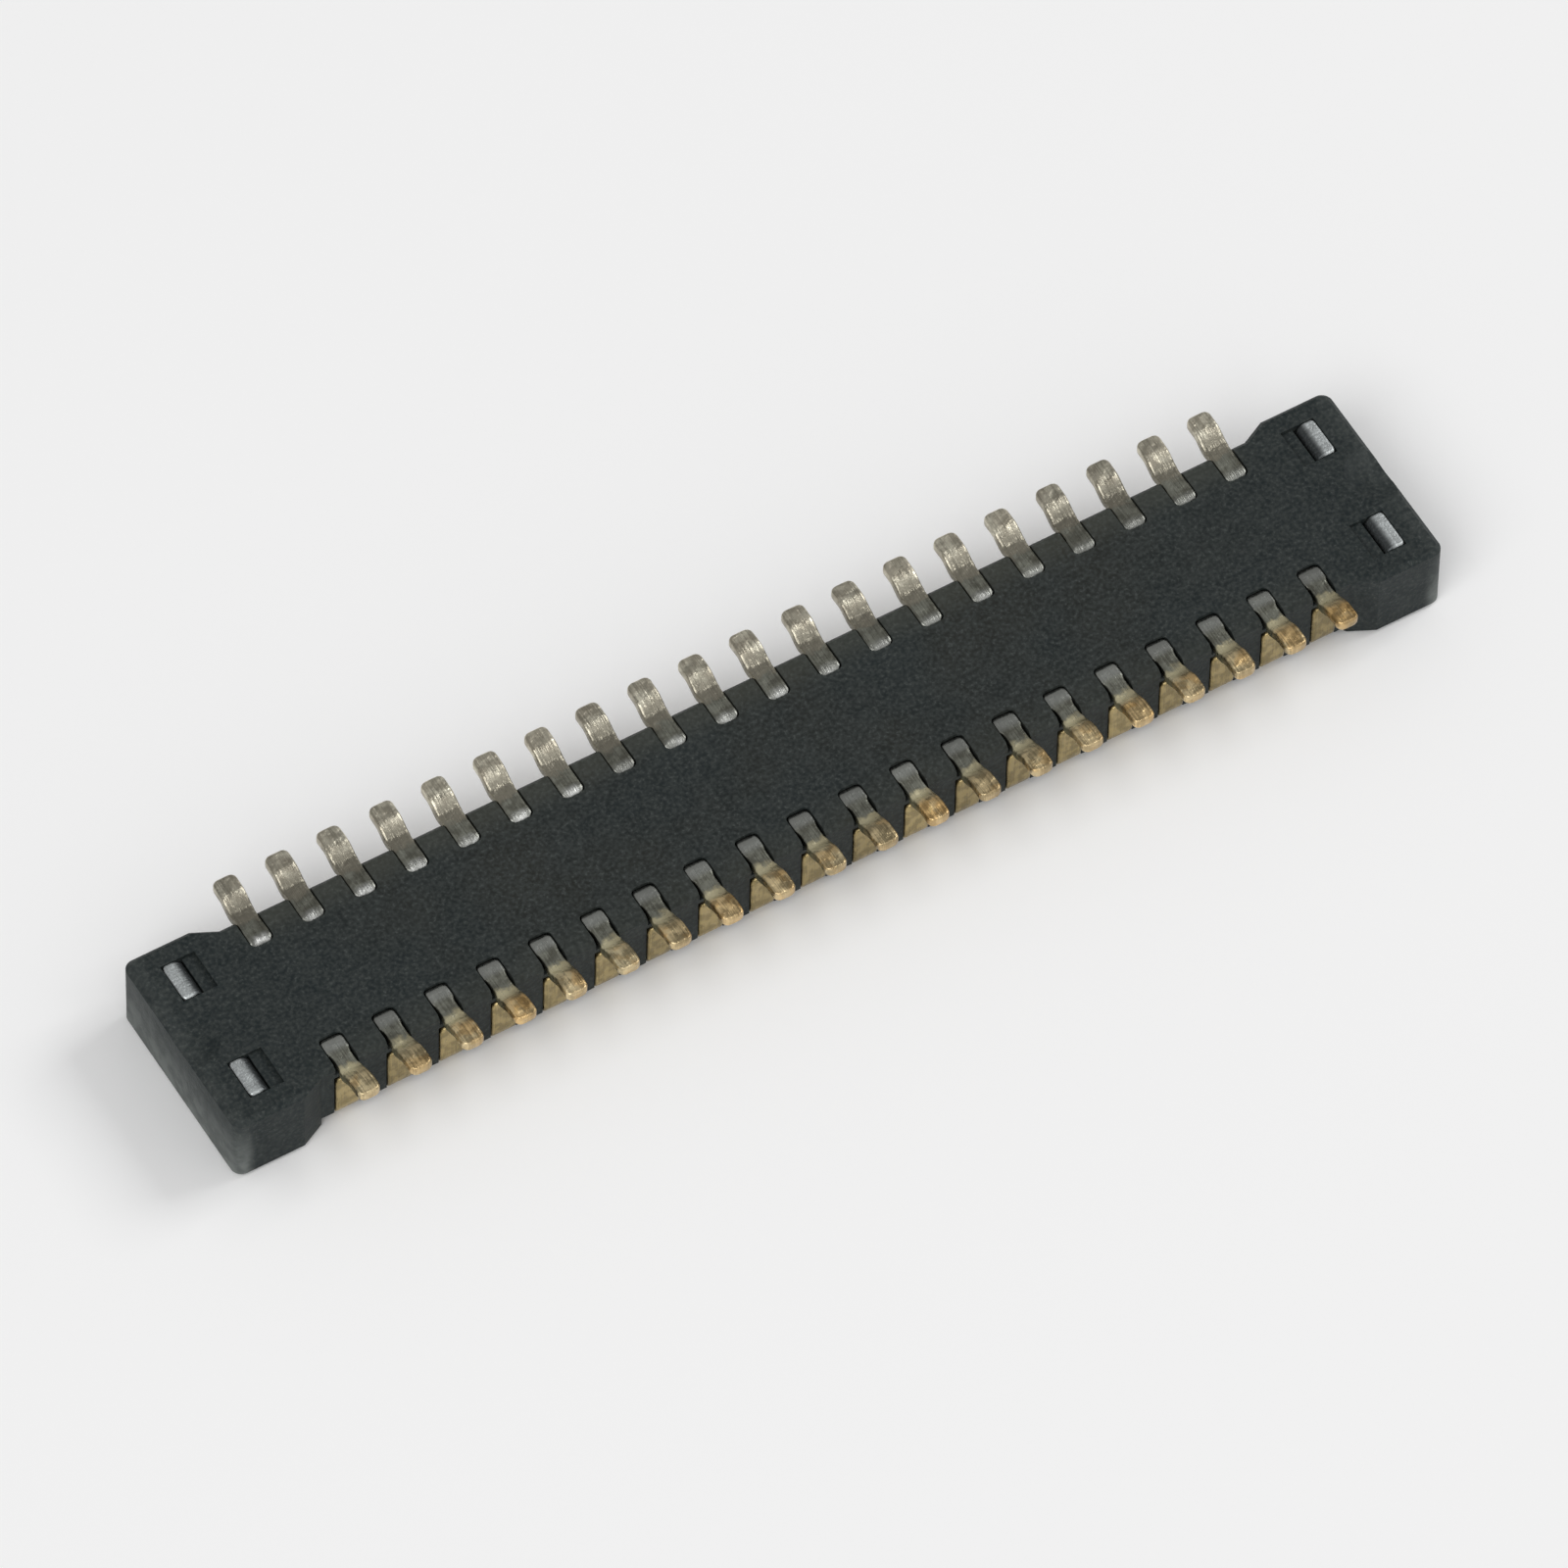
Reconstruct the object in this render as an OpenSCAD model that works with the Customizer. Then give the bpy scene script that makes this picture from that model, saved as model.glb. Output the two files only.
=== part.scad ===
// Low board-to-board plug for a display flex: a moulded housing with a valley on its mating side,
// two rows of formed contacts that wrap its walls, and a folded hold-down in each end block.
// It lies on the mating rims of its end blocks with the solder side up. Sizes are in millimetres.

/* [Contact rows] */
// Contacts in each row
contacts_per_row = 20; // [4:1:26]
// Distance between neighbouring contacts of a row
pitch = 0.4; // [0.35:0.01:0.6]

/* [Contact strip] */
// Thickness of the strip that the contacts are stamped from
strip_t = 0.08; // [0.05:0.005:0.1]
// Width of the two legs and of the arch between them
leg_w = 0.19; // [0.17:0.005:0.26]
// Width of the neck that lies in the solder face, and of the fold at its inner end
neck_w = 0.17; // [0.12:0.005:0.2]
// Width of the solder tail
tail_w = 0.16; // [0.12:0.005:0.2]
// Inside radius of the fold between the neck and the inner leg
neck_fold_r = 0.02; // [0.015:0.005:0.06]
// Inside radius of the two folds that lift the tail
tail_fold_r = 0.06; // [0.02:0.005:0.08]
// Slope of the tail between its two folds, in degrees
tail_slope = 30; // [20:1:45]
// Height of the tail's foot above the solder face
tail_rise = 0.06; // [0.05:0.005:0.12]
// Level stretch outside the wall before the tail lifts
tail_lead = 0.04; // [0.02:0.005:0.1]
// Length of the flat foot at the end of the tail
foot_len = 0.12; // [0.08:0.01:0.3]
// Corner radius at the foot's end
foot_corner_r = 0.05; // [0.02:0.005:0.06]
// Corner radius at the outer leg's free end
leg_corner_r = 0.07; // [0.02:0.005:0.08]
// Gap between the outer leg's free end and the underside of the neck
leg_end_gap = 0.045; // [0.03:0.005:0.14]
// Height of the arches above the plane of the mating rims
arch_gap = 0.03; // [0.01:0.005:0.06]
// How far the legs stand proud of the ribs between them
leg_proud = 0.02; // [0.005:0.005:0.04]
// Clearance round a contact or a hold-down in its seat
seat_clear = 0.005; // [0.002:0.001:0.01]

/* [Housing] */
// Height of the housing
body_h = 0.62; // [0.54:0.01:0.8]
// Width across the ribs of the two walls
body_w = 1.36; // [1.2:0.02:1.6]
// Thickness of the wall's core between the two legs of a contact
core_t = 0.13; // [0.1:0.005:0.18]
// Thickness of the plate between the valley and the solder face
plate_t = 0.2; // [0.14:0.01:0.24]
// Angle of the neck's fold that the plate covers, up from the inner leg, in degrees
fold_cover = 45; // [30:5:55]
// Corner radius of the opening in the plate above that fold
opening_corner_r = 0.05; // [0.01:0.005:0.055]
// Height of the ribs' mating edges above the plane of the mating rims
rib_gap = 0.05; // [0.02:0.005:0.08]
// Chamfer on the ribs' mating edges
rib_chamfer = 0.05; // [0.02:0.005:0.06]
// Chamfer round the solder side
solder_chamfer = 0.035; // [0.01:0.005:0.05]

/* [End blocks] */
// Distance from the last contact to the end block
block_lead = 0.2; // [0.18:0.01:0.4]
// Length of an end block
block_len = 0.7; // [0.66:0.01:1.2]
// How far an end block stands out past the walls, on each side
block_step = 0.09; // [0.03:0.01:0.3]
// Length of the ramp from a wall out to the side of an end block
ramp_len = 0.18; // [0.05:0.01:0.3]
// Radius of the upright corners
block_corner_r = 0.08; // [0.05:0.01:0.16]
// Lead-in chamfer round the mating rims
rim_chamfer = 0.035; // [0.02:0.005:0.06]
// Width of the shallow round dish in the middle of the end
dish_w = 0.46; // [0.2:0.02:0.52]
// Depth of the dish below the solder face
dish_d = 0.05; // [0.02:0.005:0.1]
// Distance from the end of the housing to the middle of the dish
dish_inset = 0.06; // [0.02:0.01:0.12]

/* [Hold-downs] */
// Thickness of the hold-down sheet
hold_t = 0.06; // [0.05:0.005:0.09]
// Distance between the middles of the two feet
hold_span = 0.89; // [0.86:0.01:0.98]
// Width of a foot, across the connector
hold_foot_w = 0.31; // [0.2:0.01:0.34]
// Length of a foot's flat, along the connector
hold_foot_len = 0.075; // [0.04:0.005:0.12]
// Corner radius at a foot's end
hold_corner_r = 0.03; // [0.01:0.005:0.04]
// Distance from the end of the housing to the end of a foot
hold_inset = 0.21; // [0.18:0.01:0.26]
// Inside radius of the fold under a foot
hold_fold_r = 0.02; // [0.015:0.005:0.04]
// Height of the feet above the solder face
hold_proud = 0.01; // [0.005:0.005:0.06]
// Height of the buried bar above the plane of the mating rims
bar_z = 0.12; // [0.08:0.01:0.16]
// Height of the buried bar itself
bar_h = 0.18; // [0.1:0.01:0.22]
// Open window beside the fold, along the connector
window_len = 0.1; // [0.02:0.01:0.14]
// Depth of that window below the solder face
window_d = 0.03; // [0.02:0.005:0.12]

/* [Hidden] */
$fn = 48;
// Cutting shapes run this far past the faces that they open
past = 0.5;
// Straight pieces of an arc that is drawn as part of an outline
arc_steps = 8;

// Places along the connector
row_half = (contacts_per_row - 1) * pitch / 2;
block_x = row_half + block_lead;
end_x = block_x + block_len;

// Section across a wall, from the outer leg inwards
wall_y = body_w / 2;
block_half = wall_y + block_step;
ramp_angle = atan(block_step / ramp_len);
leg_out_y = wall_y + leg_proud;
core_out_y = leg_out_y - strip_t;
core_in_y = core_out_y - core_t - 2 * seat_clear;
leg_in_y = core_in_y - strip_t;
valley_y = leg_in_y + leg_proud;
core_mid_y = (core_out_y + core_in_y) / 2;

// Heights of the contact's folds and ends
arch_r = (core_out_y - core_in_y) / 2;
arch_mid_z = arch_gap + strip_t + arch_r;
neck_under_z = body_h - strip_t;
neck_fold_z = neck_under_z - neck_fold_r;
neck_fold_y = core_in_y + neck_fold_r;
leg_top_z = neck_under_z - leg_end_gap;

// Straight stretches of the contact strip
tail_fold_mid_r = tail_fold_r + strip_t / 2;
slope_len = (tail_rise - 2 * tail_fold_mid_r * (1 - cos(tail_slope))) / sin(tail_slope);
slope_run = 2 * tail_fold_mid_r * sin(tail_slope) + slope_len * cos(tail_slope);
neck_len = wall_y + tail_lead - neck_fold_y;
inner_leg_len = neck_fold_z - arch_mid_z;
outer_leg_len = leg_top_z - arch_mid_z;
tail_end_y = wall_y + tail_lead + slope_run + foot_len;
foot_mid_z = body_h - strip_t / 2 + tail_rise;

// Opening in the plate above the neck's fold
fold_seat_r = neck_fold_r + strip_t + seat_clear;
opening_y = neck_fold_y - fold_seat_r * cos(fold_cover);
opening_flank_y = opening_y + opening_corner_r;
flank_cover = acos((neck_fold_y - opening_flank_y) / fold_seat_r);

// Places of the hold-downs
foot_end_x = end_x - hold_inset;
hold_fold_x = foot_end_x - hold_foot_len;
hold_in_x = hold_fold_x - hold_fold_r - hold_t;
foot_top_z = body_h + hold_proud;
foot_under_z = foot_top_z - hold_t;
hold_fold_z = foot_under_z - hold_fold_r;
hold_half = (hold_span + hold_foot_w) / 2;

function two_digits(i) = str(i < 10 ? "0" : "", i);
function contact_name(row, i) = str("contact_", row, "_", two_digits(i));
function contact_x(i) = (i - 1) * pitch - row_half;
// Points of an arc in a section, from one angle to another
function arc(mid, r, from, to) = [
    for (k = [0:arc_steps])
        let (a = from + (to - from) * k / arc_steps)
            [mid[0] + r * cos(a), mid[1] + r * sin(a)]
];
// A section's right-hand points, followed by the same points on the left
function both_sides(points) = concat(
    points,
    [for (k = [1:len(points)]) let (p = points[len(points) - k]) [-p[0], p[1]]]
);
// Right-hand edge of a section, with its lower and upper chamfers; slant narrows them for a ramp
function block_edge(half, slant = 1) = [
    [half - slant * rim_chamfer, 0],
    [half, rim_chamfer],
    [half, body_h - solder_chamfer],
    [half - slant * solder_chamfer, body_h]
];

// A section drawn in Y and Z, made into a bar along X with its middle at X = 0
module bar_along_x(len) {
    translate([-len / 2, 0, 0])
        rotate([90, 0, 90])
            linear_extrude(len)
                children();
}

// A section drawn in X and Z, made into a bar along Y with its middle at Y = 0
module bar_along_y(len) {
    translate([0, len / 2, 0])
        rotate([90, 0, 0])
            linear_extrude(len)
                children();
}

// The same thing at both ends of the connector
module both_ends() {
    children();
    rotate([0, 0, 180])
        children();
}

// A rectangle along X from X = 0, with its first two corners rounded
module round_started(len, w, r) {
    translate([r, -w / 2])
        square([len - r, w]);
    translate([0, r - w / 2])
        square([len, w - 2 * r]);
    for (side = [-1, 1])
        translate([r, side * (w / 2 - r)])
            circle(r);
}

// A straight stretch of strip along X; what follows starts at its end
module strip_run(len, w, t) {
    translate([0, -w / 2, -t / 2])
        cube([len, w, t]);
    translate([len, 0, 0])
        children();
}

// A fold in a strip, towards +Z for a positive angle; what follows starts at its end
module strip_fold(angle, r_in, w, t) {
    lift = sign(angle) * (r_in + t / 2);
    translate([0, 0, lift]) {
        rotate([90, 0, 0])
            rotate([0, 0, angle > 0 ? -90 : 90 + angle])
                rotate_extrude(angle = abs(angle))
                    translate([r_in, -w / 2])
                        square([t, w]);
        rotate([0, -angle, 0])
            translate([0, 0, -lift])
                children();
    }
}

// A straight stretch of strip that starts with two rounded corners
module strip_foot(len, w, t, r) {
    translate([0, 0, -t / 2])
        linear_extrude(t)
            round_started(len, w, r);
    translate([len, 0, 0])
        children();
}

// A straight stretch of strip that ends with two rounded corners
module strip_end(len, w, t, r) {
    translate([len, 0, 0])
        rotate([0, 0, 180])
            strip_foot(len, w, t, r);
}

// A contact of the rear row: one strip from its solder foot round the wall to the outer leg's free end
module contact() {
    color("goldenrod")
        translate([0, tail_end_y, foot_mid_z])
            rotate([0, 0, -90])
                strip_foot(foot_len, tail_w, strip_t, foot_corner_r)
                strip_fold(-tail_slope, tail_fold_r, tail_w, strip_t)
                strip_run(slope_len, tail_w, strip_t)
                strip_fold(tail_slope, tail_fold_r, tail_w, strip_t)
                strip_run(neck_len, neck_w, strip_t)
                strip_fold(-90, neck_fold_r, neck_w, strip_t)
                strip_run(inner_leg_len, leg_w, strip_t)
                strip_fold(-180, arch_r, leg_w, strip_t)
                strip_end(outer_leg_len, leg_w, strip_t, leg_corner_r);
}

module contact_rear(i) {
    translate([contact_x(i), 0, 0])
        contact();
}

module contact_front(i) {
    translate([contact_x(i), 0, 0])
        rotate([0, 0, 180])
            contact();
}

// What a rear contact takes out of the wall and the plate: its legs all round the core, its fold under
// the plate's edge, its neck, and the opening that shows the fold in the solder face
module contact_seat() {
    fold_mid = [neck_fold_y, neck_fold_z];
    legs = concat(
        [
            [leg_in_y - seat_clear, -past],
            [leg_out_y + past, -past],
            [leg_out_y + past, leg_top_z + seat_clear],
            [core_out_y - seat_clear, leg_top_z + seat_clear]
        ],
        arc([core_mid_y, arch_mid_z], arch_r - seat_clear, 0, -180),
        [
            [core_in_y + seat_clear, neck_fold_z + seat_clear],
            [leg_in_y - seat_clear, neck_fold_z + seat_clear]
        ]
    );
    fold_and_neck = concat(
        arc(fold_mid, fold_seat_r, 180, 180 - flank_cover),
        [
            [opening_flank_y, body_h + past],
            [leg_out_y + past, body_h + past],
            [leg_out_y + past, neck_under_z - seat_clear]
        ],
        arc(fold_mid, neck_fold_r - seat_clear, 90, 180)
    );
    bar_along_x(leg_w + 2 * seat_clear)
        polygon(legs);
    bar_along_x(neck_w + 2 * seat_clear)
        polygon(fold_and_neck);
    translate([0, opening_y, neck_fold_z])
        rotate([0, 0, 90])
            linear_extrude(body_h + past - neck_fold_z)
                round_started(neck_fold_y - opening_y, neck_w + 2 * seat_clear, opening_corner_r);
}

// Right-hand hold-down: two feet folded out of the top of a buried bar
module hold_down() {
    color("lightsteelblue") {
        for (side = [-1, 1])
            translate([foot_end_x, side * hold_span / 2, foot_top_z - hold_t / 2])
                rotate([0, 0, 180])
                    strip_foot(hold_foot_len, hold_foot_w, hold_t, hold_corner_r)
                    strip_fold(-90, hold_fold_r, hold_foot_w, hold_t)
                    strip_run(hold_fold_z - bar_z, hold_foot_w, hold_t);
        translate([hold_in_x, -hold_half, bar_z])
            cube([hold_t, 2 * hold_half, bar_h]);
    }
}

module hold_down_right() {
    hold_down();
}

module hold_down_left() {
    rotate([0, 0, 180])
        hold_down();
}

// What the right-hand hold-down takes out of its end block, with the open window beside each fold
module hold_down_seat() {
    fold_channel = concat(
        [
            [hold_in_x - seat_clear, bar_z - seat_clear],
            [hold_in_x + hold_t + seat_clear, bar_z - seat_clear]
        ],
        arc([hold_fold_x, hold_fold_z], hold_fold_r - seat_clear, 180, 90),
        [
            [foot_end_x + seat_clear, foot_under_z - seat_clear],
            [foot_end_x + seat_clear, body_h + past],
            [hold_in_x - window_len, body_h + past],
            [hold_in_x - window_len, body_h - window_d],
            [hold_in_x - seat_clear, body_h - window_d]
        ]
    );
    for (side = [-1, 1])
        translate([0, side * hold_span / 2, 0])
            bar_along_y(hold_foot_w + 2 * seat_clear)
                polygon(fold_channel);
    translate([hold_in_x - seat_clear, -hold_half - seat_clear, bar_z - seat_clear])
        cube([hold_t + 2 * seat_clear, 2 * (hold_half + seat_clear), bar_h + 2 * seat_clear]);
}

// Dish in the middle of the right-hand end: a shallow cap of a ball, open at the end face
module end_dish() {
    ball_r = (pow(dish_w / 2, 2) + pow(dish_d, 2)) / (2 * dish_d);
    translate([end_x - dish_inset, 0, body_h - dish_d + ball_r])
        sphere(ball_r);
}

// What lies inside the ramp on one side of the right-hand end block, with the chamfers along it
module inside_ramp(side) {
    reach = 2 * block_half + block_len;
    translate([block_x, side * wall_y, 0])
        rotate([0, 0, side * ramp_angle])
            mirror([0, side > 0 ? 0 : 1, 0])
                bar_along_x(2 * end_x)
                    polygon(concat(
                        [[-reach, 0]],
                        block_edge(0, cos(ramp_angle)),
                        [[-reach, body_h]]
                    ));
}

// Right-hand end block: its sides and the ramps from the walls, its end, and its rounded corners
module end_block() {
    corner_x = end_x - block_corner_r;
    corner_y = block_half - block_corner_r;
    intersection() {
        translate([block_x, -block_half, 0])
            cube([corner_x - block_x, 2 * block_half, body_h]);
        bar_along_x(2 * end_x)
            polygon(both_sides(block_edge(block_half)));
        inside_ramp(1);
        inside_ramp(-1);
    }
    bar_along_y(2 * corner_y)
        polygon(concat([[foot_end_x, 0]], block_edge(end_x), [[foot_end_x, body_h]]));
    for (side = [-1, 1])
        translate([corner_x, side * corner_y, 0])
            rotate([0, 0, side > 0 ? 0 : -90])
                rotate_extrude(angle = 90)
                    polygon(concat([[0, 0]], block_edge(block_corner_r), [[0, body_h]]));
}

// The housing before anything is cut out of it; the walls run on into the end blocks
module housing_blank() {
    bar_along_x(2 * (block_x + ramp_len))
        polygon(both_sides(block_edge(wall_y)));
    both_ends()
        end_block();
}

// The space below the housing between its end blocks: the valley, and the room under the ribs
module mating_space() {
    edge_z = rib_gap + rib_chamfer;
    bar_along_x(2 * block_x)
        polygon(both_sides([
            [valley_y, body_h - plate_t],
            [valley_y, edge_z],
            [valley_y + rib_chamfer, rib_gap],
            [wall_y - rib_chamfer, rib_gap],
            [wall_y, edge_z],
            [wall_y + past, edge_z],
            [wall_y + past, -past]
        ]));
}

module housing() {
    color([0.19, 0.21, 0.22])
        difference() {
            housing_blank();
            mating_space();
            both_ends() {
                for (i = [1:contacts_per_row])
                    translate([contact_x(i), 0, 0])
                        contact_seat();
                hold_down_seat();
                end_dish();
            }
        }
}

housing();
hold_down_left();
hold_down_right();
for (i = [1:contacts_per_row])
    contact_front(i);
for (i = [1:contacts_per_row])
    contact_rear(i);
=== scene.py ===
"""Looks of a low board-to-board plug: contacts, moulded housing and hold-downs, on a pale floor."""

import math

import bmesh
import bpy
import numpy as np
from mathutils import Matrix, Vector


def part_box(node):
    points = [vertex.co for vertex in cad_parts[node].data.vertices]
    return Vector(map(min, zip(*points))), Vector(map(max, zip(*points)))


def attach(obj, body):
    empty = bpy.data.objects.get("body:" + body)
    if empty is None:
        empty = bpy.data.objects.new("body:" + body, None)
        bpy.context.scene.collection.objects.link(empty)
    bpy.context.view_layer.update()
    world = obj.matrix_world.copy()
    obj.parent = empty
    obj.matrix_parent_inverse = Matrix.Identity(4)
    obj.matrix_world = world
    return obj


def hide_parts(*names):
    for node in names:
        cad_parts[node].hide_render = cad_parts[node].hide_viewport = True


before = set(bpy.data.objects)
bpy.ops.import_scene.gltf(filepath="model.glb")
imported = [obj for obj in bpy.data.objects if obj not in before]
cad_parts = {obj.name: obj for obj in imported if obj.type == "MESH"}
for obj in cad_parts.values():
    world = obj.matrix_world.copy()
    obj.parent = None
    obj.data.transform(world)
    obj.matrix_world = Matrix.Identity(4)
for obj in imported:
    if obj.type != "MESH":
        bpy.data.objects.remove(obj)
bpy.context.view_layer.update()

# Shapes are worked out in millimetres and stored in metres
MM = 0.001

# Contact strip, in millimetres and degrees
STRIP_T = 0.08
LEG_W = 0.19
HEAD_W = 0.172
HEAD_SPREAD = 0.006
HEAD_LEN = 0.075
HEAD_ROUND_AT = 0.046
HEAD_ROUND_TO = 0.64
FRONT_WAIST_W = 0.142
REAR_WAIST_W = 0.168
FRONT_TAIL_W = 0.164
REAR_TAIL_W = 0.18
NECK_FOLD_R = 0.02
TAIL_FOLD_R = 0.06
TAIL_SLOPE = 30.0
TAIL_RISE = 0.06
FOOT_LEN = 0.12
FOOT_CORNER_R = 0.05
LEG_CORNER_R = 0.07
ARCH_R = 0.07
LEG_END_GAP = 0.045
STRIP_EDGE_R = 0.02
LEAST_EDGE_R = 0.0005
WIDTH_BLEND = 0.022
TAIL_LEAN = 0.006

# What differs from contact to contact: one in so many has a fully orange-tinted tail, partly a tint and
# partly painted orange highlights, and the others up to a share of that; the rear heads get a painted
# highlight by a share between two limits, smaller for higher numbers
DRAW_SEED = 7
WARM_GLINT_EVERY = 4
WARM_GLINT_LIMIT = 0.55
HIGHLIGHT_LEAST, HIGHLIGHT_MOST = 0.3, 1.0

# Hold-down sheet, in millimetres
HOLD_T = 0.06
HOLD_SPAN = 0.89
HOLD_FOOT_W = 0.31
HOLD_FOOT_LEN = 0.075
HOLD_FOLD_R = 0.02
HOLD_CORNER_R = 0.03
BAR_H = 0.18
BAR_CORNER_R = 0.02

# Fineness of the swept pieces
FOLD_STEP = 7.5
RUN_STEP = 0.03
CORNER_POINTS = 4
END_STATIONS = 7
SUPPORT_GAP = 0.006
SUPPORT_SHARE = 0.3

# Housing edges, in millimetres and degrees
MOULD_EDGE_R = 0.008
MOULD_EDGE_STEPS = 2
MOULD_EDGE_ANGLE = 30.0
CRISP_EDGE_ANGLE = 12.0
FLAT_ANGLE = 1.0
MERGE_DISTANCE = 0.0001
# The rounder upper rims of the end blocks: where they are looked for, and how close to level, and to the
# lean of their chamfer, an edge has to be
RIM_EDGE_R = 0.022
RIM_EDGE_STEPS = 3
RIM_FROM_X = 3.95
RIM_DEPTH = 0.05
LEVEL_LIMIT = 0.001
CHAMFER_LEAN = 0.707
LEAN_LIMIT = 0.02

# Finishes, as linear colours
PLASTIC_COOL = (0.0125, 0.0178, 0.0188)
PLASTIC_WARM = (0.0175, 0.0188, 0.0158)
PLASTIC_PALE = (0.0405, 0.0465, 0.0445)
PLASTIC_SPECK = (0.090, 0.100, 0.096)
PLASTIC_DUST = (0.080, 0.081, 0.064)
PLASTIC_FLOOR_REFLECTION = (0.200, 0.215, 0.205)
GOLD_DULL = (0.40, 0.345, 0.215)
GOLD_BRIGHT = (0.88, 0.75, 0.47)
GOLD_RED = (0.46, 0.305, 0.13)
GOLD_ORANGE_GLINT = (1.0, 0.68, 0.30)
GOLD_ROOT = (0.78, 0.71, 0.47)
PALE_DULL = (0.40, 0.375, 0.30)
PALE_BRIGHT = (0.70, 0.665, 0.54)
PALE_ROOT = (0.29, 0.27, 0.215)
PALE_BROWN = (0.40, 0.35, 0.27)
NICKEL_DARK = (0.17, 0.17, 0.14)
NICKEL_PALE = (0.28, 0.285, 0.24)
NICKEL_HEAD = (0.35, 0.36, 0.335)
NICKEL_WORN = (0.24, 0.245, 0.225)
NICKEL_PAINTED_HIGHLIGHT = (0.95, 0.96, 0.94)
LEG_SHADE = (0.54, 0.50, 0.395)
SIDE_SHADE = (0.36, 0.33, 0.29)
LOT_DARK = (0.84, 0.84, 0.84)
LOT_PALE = (1.14, 1.14, 1.14)
COPPER_AND_END_SHADE = (0.48, 0.36, 0.20)
TIN_DULL = (0.45, 0.475, 0.475)
TIN_BRIGHT = (0.68, 0.72, 0.72)
TIN_SHADED = (0.075, 0.082, 0.084)
PAPER = (0.95, 0.95, 0.95)

# Noises of the finishes, in waves to the millimetre: clouds and grain, patches and specks or dents
PLASTIC_CLOUDS, PLASTIC_GRAIN = 1.3, 34.0
PLASTIC_PATCHES, PLASTIC_SPECKS = 9.0, 75.0
PLATING_CLOUDS, PLATING_GRAIN = 13.0, 70.0
PLATING_PATCHES, PLATING_DENTS = 8.0, 16.0
TIN_CLOUDS, TIN_GRAIN = 16.0, 65.0
CLOUD_DETAIL, GRAIN_DETAIL = 3.0, 2.0
NOISE_FROM, NOISE_TO = 0.3, 0.7
# Rolled lines: waves along and across the strip, and how far apart two lots lie in the noise
LINE_WAVES_ALONG, LINE_WAVES_ACROSS, LOT_STEP = 3.0, 9.0, 40.0
LINE_DETAIL, LINE_ROUGHNESS = 3.0, 0.6
TIN_LOT = 0.3

# Height of the bumps, in millimetres, their strength, and the parts that make them up
PLASTIC_BUMP, PLATING_BUMP, TIN_BUMP = 0.002, 0.0015, 0.002
BUMP_STRENGTH = 0.6
GRAIN_IN_PLATING_BUMP, LINES_IN_TIN_BUMP = 0.3, 0.4
TAIL_DENTS, NECK_DENTS, DENT_BLEND = 4.0, 2.0, 0.05

# A ramp is written as from, to, the result at from and the result at to, which are 0 and 1 if left out
# Roughness, over the sum of two noises
PLASTIC_ROUGH = (0.0, 2.0, 0.5, 0.68)
PLATING_ROUGH = (0.0, 2.0, 0.26, 0.42)
TIN_ROUGH = (0.0, 2.0, 0.36, 0.52)
PLASTIC_SHINE = 0.14

# Plastic, in millimetres and shares of colour
# It is cooler away from the middle, and grain, patches and specks of filler make it paler
WARM_MIDDLE = (2.2, 4.4, 1.0, 0.0)
GRAIN_SHARE, PATCH_SHARE = 0.7, 0.25
SPECKS = (0.5, 0.95, 0.0, 0.35)
# Dust gathers on top of the walls away from the middle line, close below the top, and ends with the rows
REAR_DUST = (0.36, 0.62, 0.0, 0.32)
FRONT_DUST = (-0.36, -0.62, 0.0, 0.11)
DUST_DEPTH = (-0.07, -0.01)
DUST_ROWS = (3.7, 4.05, 1.0, 0.0)
# A painted reflection of the bright floor makes the end faces paler from the top down to the rim
FLOOR_REFLECTING_ENDS = (4.54, 4.64)
TOP_FLOOR_REFLECTION, RIM_FLOOR_REFLECTION = 0.06, 0.6
FLOOR_REFLECTION_PATCHES = (0.0, 1.0, 0.75, 1.25)

# Plating, in millimetres along the strip, shares of the way across it and shares of colour
# The gold runs past the tail's last fold, and each zone starts later in the rear row and wavers a little
GOLD_PAST_TAIL = 0.02
REAR_ZONES_LATER = 0.06
ZONE_BLEND, ZONE_WAVER = 0.06, 0.05
# The root of a tail lies before the end of the gold, and the head before the start of the fold
ROOT_FROM, ROOT_TO = 0.17, 0.07
HEAD_FROM, HEAD_TO = 0.09, 0.02
# Tone of the metal, from its lines and clouds, and more even on the legs
LINES_IN_TONE, CLOUDS_IN_TONE = 0.35, 0.65
TONE = (0.2, 0.8)
LEG_TONE = (0.0, 1.0, 0.2, 0.75)
# Orange-tinted gold, partly a tint and partly painted orange highlights, comes from a contact's own share
# and in patches, and brown in patches on the rear tails
WARM_GLINT_SHARE, BROWN_SHARE = 0.55, 0.5
WARM_GLINT_PATCHES = (0.25, 0.85)
# Painted shade darkens the strip's right side: on the gold of the front tails, and on the nickel in the
# rear row alone
SHADED_SIDE = (0.4, -0.7, 0.0, 0.5)
SIDE_SHADE_BY_ROW = (0.0, 1.0, 0.6, 0.0)
# Painted highlight spots lie in the middle of the rear heads and follow the dents
HIGHLIGHT_ACROSS = (0.2, 0.8, 1.0, 0.05)
HIGHLIGHT_DENTS = (0.2, 0.7, 0.35, 1.0)
# Copper shows at the sheared end of a tail, and on the front row the same colour is painted farther up as
# shade on the tail's end
FRONT_END_SHADE = (0.004, 0.05, 0.45, 0.0)
SHEARED_END = (0.002, 0.006, 0.6, 0.0)

# Tin, in shares of its tone, and in millimetres past the foot's end where it falls into shade
GRAIN_IN_TIN, CLOUDS_IN_TIN = 0.35, 0.65
TIN_SHADE_FROM, TIN_SHADE_TO = -0.01, 0.025

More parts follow.
